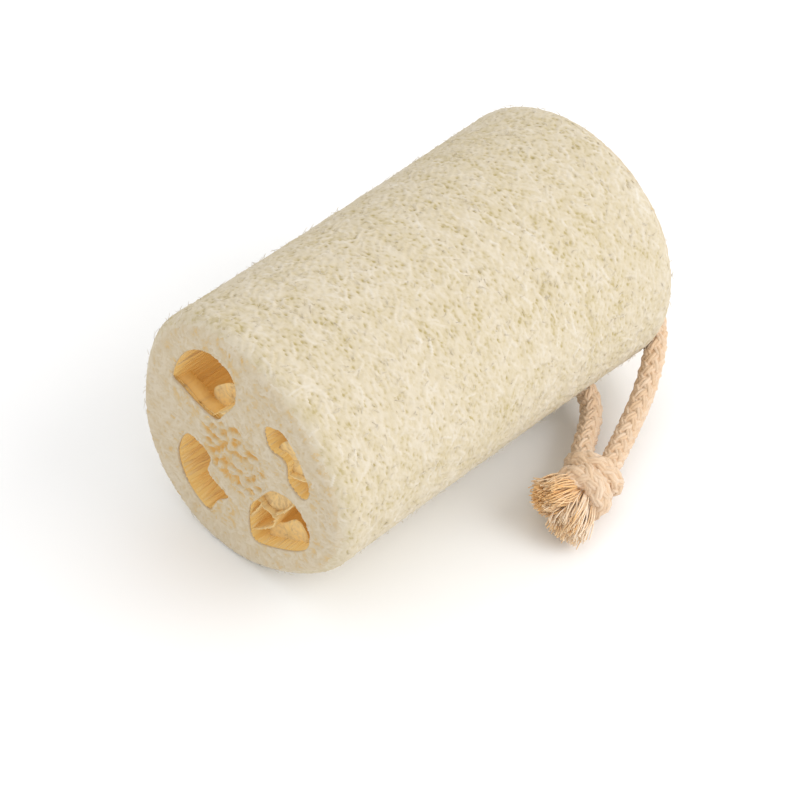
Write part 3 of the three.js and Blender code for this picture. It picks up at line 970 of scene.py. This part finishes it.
rings = [chamber_ring(outline, 0.25) for outline in CUT_OPENINGS.values()]
reach = np.arange(-RADIUS - 3, RADIUS + 3, CUT_PITCH)
flat = np.stack(np.meshgrid(reach, reach + AXIS_HEIGHT), -1)
from_axis = np.hypot(flat[..., 0], flat[..., 1] - AXIS_HEIGHT)
flat_angle = np.arctan2(flat[..., 1] - AXIS_HEIGHT, flat[..., 0])
in_chamber = inside_any(flat, rings)
over_chamber = inside_any(flat, [chamber_ring(outline, 1.0) for outline in CHAMBERS.values()])
for name, side, seed in (("near", -1, 31), ("far", 1, 32)):
    cut_dice = np.random.default_rng(seed)
    across_run, up_run = thread_runs(CUT_THREADS, CUT_THREAD_LENGTHS, CUT_THREAD_SLANT, cut_dice)
    thread_row = cut_dice.uniform(0, len(reach), (CUT_THREADS, 1)) + up_run / CUT_PITCH
    thread_column = cut_dice.uniform(0, len(reach), (CUT_THREADS, 1)) + across_run / CUT_PITCH
    felt_height, felt_tone_and_shade = matted(
        thread_row, thread_column, CUT_PITCH, CUT_PITCH, in_chamber.shape, cut_dice,
    )
    from_rim = barrel_radius(flat_angle, np.array(side * LENGTH / 2)) - from_axis
    core = np.clip((HOLLOWS_RADIUS - from_axis) / 3, 0, 1)
    hollow = np.clip(0.6 * cloudy(flat, cut_dice, HOLLOW_SIZE) + 0.3, 0, 1) * core
    threads = CUT_RELIEF * THREAD_RISE * (felt_height - FELT_MIDDLE)
    depth = CUT_DEPTH + rim_drop(flat, side) - threads
    depth = depth + RIM_TUCK * np.clip((3.2 - from_rim) / 2, 0, 1)
    depth = depth + HOLLOW_DEPTH * hollow + 0.2 * in_chamber
    keep = (from_rim > 0.9) & (flat[..., 1] > 1.0)
    index = np.arange(keep.size).reshape(keep.shape)
    corners = [(slice(None, -1), slice(None, -1)), (slice(None, -1), slice(1, None))]
    corners += [(slice(1, None), slice(1, None)), (slice(1, None), slice(None, -1))]
    kept = np.all([keep[corner] for corner in corners], 0)
    opened = np.all([in_chamber[corner] for corner in corners], 0)
    shown = kept & ~opened
    face_corners = np.stack([index[corner][shown] for corner in corners[::side]], -1)
    used, faces = np.unique(face_corners, return_inverse=True)
    points = np.concatenate([side * (LENGTH / 2 - depth)[..., None], flat], -1).reshape(-1, 3)[used]
    over_edge = np.flatnonzero(in_chamber.ravel()[used])
    edge = np.concatenate(rings)
    nearest = np.linalg.norm(points[over_edge, None, 1:] - edge, axis=-1).argmin(1)
    points[over_edge, 1:] = edge[nearest]
    cut_tone = CUT_TONE + THREAD_CONTRAST * felt_tone_and_shade + CUT_BLOTCH * cloudy(flat, cut_dice, 5)
    # The hollows get the amber tone: painted glow of light from deeper in the fibre.
    cut_tone = cut_tone - CORE_STAIN * core - HOLLOW_PAINTED_GLOW * hollow - DRY_SKIN_STAIN * over_chamber
    shapes = [(clear_of_rope(points), cut_tone.ravel()[used], [faces.reshape(-1, 4)])]
    for ring in rings:
        ring = ring[::3]
        ahead, behind = np.roll(ring, -1, 0), np.roll(ring, 1, 0)
        outward = unit(np.stack([ahead[:, 1] - behind[:, 1], behind[:, 0] - ahead[:, 0]], -1))
        edge_x = np.full(len(ring), side * (LENGTH / 2 - FACE_DEPTH))
        path = np.column_stack([edge_x, ring + EDGE_INSET * outward])[None]
        path = clear_of_rope(path)
        shapes.append(tubes(path, (side, 0, 0), EDGE_RADIUS, EDGE_SIDES, EDGE_TONE, closed=True))
    felt = make_piece("loofah_cut_" + name, [above_floor(shape) for shape in shapes], cut_fibre)


# The ribs of the seed chambers: stiff fibres that run the sponge's length on the chambers' walls.
# They are grown into the wall, about 1.5 mm apart, and a warmer amber than the skin.
RIB_SPACING = 1.5
RIB_RADIUS = 0.5
RIB_FLATNESS = 0.28
RIB_SIDES = 6
RIB_INSET = 1.2
RIB_DRIFT = 0.45
RIB_JITTER = 0.12
RIB_SINK = 0.02
RIB_TONES = (-0.2, 0.2)
RIB_POINTS = 34

rib_dice = np.random.default_rng(41)
rib_shapes = []
rib_x = np.linspace(-LENGTH / 2 + RIB_INSET, LENGTH / 2 - RIB_INSET, RIB_POINTS)
for outline in CHAMBERS.values():
    ring = chamber_ring(outline, RIB_SPACING)
    count = len(ring)
    tangent = unit(np.roll(ring, -1, 0) - np.roll(ring, 1, 0))
    inward = np.stack([-tangent[:, 1], tangent[:, 0]], -1)
    bend = rib_dice.uniform(0, 2 * np.pi, (count, 1))
    pace = rib_dice.uniform(0.12, 0.3, (count, 1))
    jitter = RIB_JITTER * rib_dice.normal(size=(count, RIB_POINTS))
    drift = RIB_DRIFT * np.sin(pace * rib_x + bend) + jitter
    sunk = RIB_SINK * rib_dice.normal(size=(count, RIB_POINTS)) - RIB_SINK
    flat = ring[:, None] + drift[..., None] * tangent[:, None] + sunk[..., None] * inward[:, None]
    rib_paths = np.concatenate([np.broadcast_to(rib_x[:, None], flat.shape[:2] + (1,)), flat], -1)
    outward = np.concatenate([np.zeros((count, 1)), inward], -1)[:, None]
    thick = RIB_RADIUS * rib_dice.uniform(0.7, 1.2, (count, 1))
    rib_tone = rib_dice.uniform(*RIB_TONES, (count, 1))
    rib_paths = clear_of_rope(rib_paths)
    rib_shapes.append(tubes(rib_paths, outward, thick, RIB_SIDES, rib_tone, flatness=RIB_FLATNESS))
ribs = make_piece("loofah_chamber_ribs", rib_shapes, flesh)


# The films in the seed chambers: dry skins between the seeds, which tore as the loofah dried.
# They hang a few millimetres inside the openings, grown to the chambers' walls, and are a paler amber.
# Films lie across a chamber, walls run into it; their points are in y and height above the axis.
FILMS = [
    {
        "depth": 1.8, "tone": -0.1,
        "outline": [(24, 10.6), (17.6, 11), (12.3, 8.8), (5, 7.8), (9, 2), (19.6, 0.5), (25, 4)],
    },
    {
        "depth": 5.5, "tone": -0.15,
        "outline": [(11.4, 10.8), (8.6, 14.6), (3.0, 18.2), (-1, 15), (4, 8.0), (9, 5.5)],
    },
    {
        "depth": 1.4, "tone": -0.1,
        "outline": [(13.2, -30.6), (7.4, -21.3), (-1.6, -13.0), (-3, -24), (6, -31)],
    },
    {
        "depth": 2.6, "tone": -0.25,
        "outline": [
            (-5.2, -6.5), (-12.1, 0.2), (-18.1, 3.2), (-20, -1.4),
            (-17.6, -5.2), (-12.6, -10), (-8.9, -11),
        ],
    },
    {
        "depth": 4.4, "tone": -0.15,
        "outline": [
            (-7.6, -19.5), (-12.5, -15.8), (-17.7, -11.1),
            (-21, -16), (-14, -24.4), (-7.9, -27.6),
        ],
    },
    {
        "depth": 2.4, "tone": -0.2,
        "outline": [(-14.5, 12), (-19, 18), (-26, 17), (-28, 11), (-22, 8.6), (-17, 9)],
    },
]
WALLS = [
    {"depth": 0.8, "reach": 5, "points": [(21.5, 10.8), (17.4, 10.3), (12.3, 8.4), (5.2, 7.2)]},
    {"depth": 0.9, "reach": 9, "points": [(-5.6, -7.4), (-9.2, -10.7), (-13.4, -10.9)]},
    {"depth": 1.2, "reach": 9, "points": [(-2.4, -19.8), (-5.2, -15.7), (-8.6, -9.8)]},
    {"depth": 1.3, "reach": 6, "points": [(-12.6, -10.9), (-17.3, -5.6), (-21, 0.6)]},
    {"depth": 2.0, "reach": 7, "points": [(-3.4, -23.2), (-8.6, -19.1), (-11.3, -15.8), (-13.2, -11)]},
    {"depth": 1.0, "reach": 8, "points": [(-17.8, 7.2), (-22.2, 9.0), (-27, 10.8)]},
]
FILM_RINGS = 5
FILM_SAG = 0.5
FILM_RIPPLE = 0.1
FILM_BLOTCH = 0.1
FILM_HALF_THICKNESS = 0.12
WALL_HALF_THICKNESS = 0.22
WALL_RIPPLE = 0.1
WALL_RAGGED = 0.25
WALL_THINNING = 0.6
WALL_STEPS = (0, 0.15, 0.5, 1)
# The walls' tone runs from pale at the torn front to more amber and glowing further in: painted glow deeper
# in the chamber.
WALL_TONES = [0.1, 0.0, -0.1, -0.2]


def film(outline, depth, tone, side, dice):
    """A thin dished skin across part of a chamber, with a front, a back and a closed edge."""
    ring = smooth_line(outline, 1.0, closed=True)[:-1] + (0, AXIS_HEIGHT)
    shares = np.linspace(1, 0.12, FILM_RINGS)
    layers = []
    for face, order in ((1, slice(None, None, -1)), (-1, slice(None))):
        for share in shares[order]:
            flat = ring.mean(0) + (ring - ring.mean(0)) * share
            sag = FILM_SAG * (1 - share**2) + FILM_RIPPLE * dice.normal(size=len(ring))
            x = LENGTH / 2 - depth - sag + face * FILM_HALF_THICKNESS
            layers.append(np.column_stack([side * x, flat]))
    points = np.concatenate(layers)
    faces = grid_faces(len(layers), len(ring))
    if side > 0:
        faces = [face_set[:, ::-1] for face_set in faces]
    return points, tone + FILM_BLOTCH * dice.normal(size=len(points)), faces


def wall(points, depth, reach, side, dice):
    """A thin upright skin that runs into a chamber along a line (y, height), thickest at its torn front."""
    line = smooth_line(points, 0.8) + (0, AXIS_HEIGHT)
    line = line + WALL_RIPPLE * dice.normal(size=line.shape)
    tangent = unit(np.gradient(line, axis=0))
    across = np.stack([-tangent[:, 1], tangent[:, 0]], -1)
    front = depth + WALL_RAGGED * dice.normal(size=len(line))
    layers = []
    for share in (-1, 1):
        for into in WALL_STEPS:
            flat = line + across * share * WALL_HALF_THICKNESS * (1 - WALL_THINNING * into)
            layers.append(np.column_stack([side * (LENGTH / 2 - front - reach * into), flat]))
    steps = len(WALL_STEPS)
    rows = np.stack(layers[:steps][::-1] + layers[steps:], 1)
    faces = grid_faces(len(line), 2 * steps)
    if side > 0:
        faces = [face_set[:, ::-1] for face_set in faces]
    tone = np.tile(WALL_TONES + WALL_TONES[::-1], len(line))
    return rows.reshape(-1, 3), tone, faces


film_dice = np.random.default_rng(51)
film_shapes = []
for side in (-1, 1):
    film_shapes += [film(side=side, dice=film_dice, **skin) for skin in FILMS]
    film_shapes += [wall(side=side, dice=film_dice, **skin) for skin in WALLS]
film_shapes = [(clear_of_rope(points), tones, faces) for points, tones, faces in film_shapes]
films = make_piece("loofah_chamber_films", film_shapes, flesh)


# Floor and studio light: a plain white floor, a bright even room and a soft lamp on the rope's side.
floor_mesh = bpy.data.meshes.new("floor")
floor_mesh.from_pydata([(-3, -3, 0), (3, -3, 0), (3, 3, 0), (-3, 3, 0)], [], [(0, 1, 2, 3)])
floor_paint, floor_shader, add, link = principled("floor_paint", 0.9)
floor_shader.inputs["Base Color"].default_value = (0.96, 0.96, 0.96, 1)
floor_mesh.materials.append(floor_paint)
floor = bpy.data.objects.new("floor", floor_mesh)
bpy.context.scene.collection.objects.link(floor)

room = bpy.data.worlds.new("room")
room.use_nodes = True
room.node_tree.nodes["Background"].inputs["Color"].default_value = (1, 1, 1, 1)
room.node_tree.nodes["Background"].inputs["Strength"].default_value = 1.0
bpy.context.scene.world = room
bpy.context.scene.view_settings.view_transform = "Standard"

KEY_PLACE = Vector((0.35, -0.75, 0.7))
key = bpy.data.objects.new("key_lamp", bpy.data.lights.new("key_lamp", "AREA"))
key.data.size = 0.7
key.data.energy = 4.5
key.location = KEY_PLACE
key.rotation_mode = "QUATERNION"
key.rotation_quaternion = (AIM_POINT - KEY_PLACE).to_track_quat("-Z", "Y")
bpy.context.scene.collection.objects.link(key)
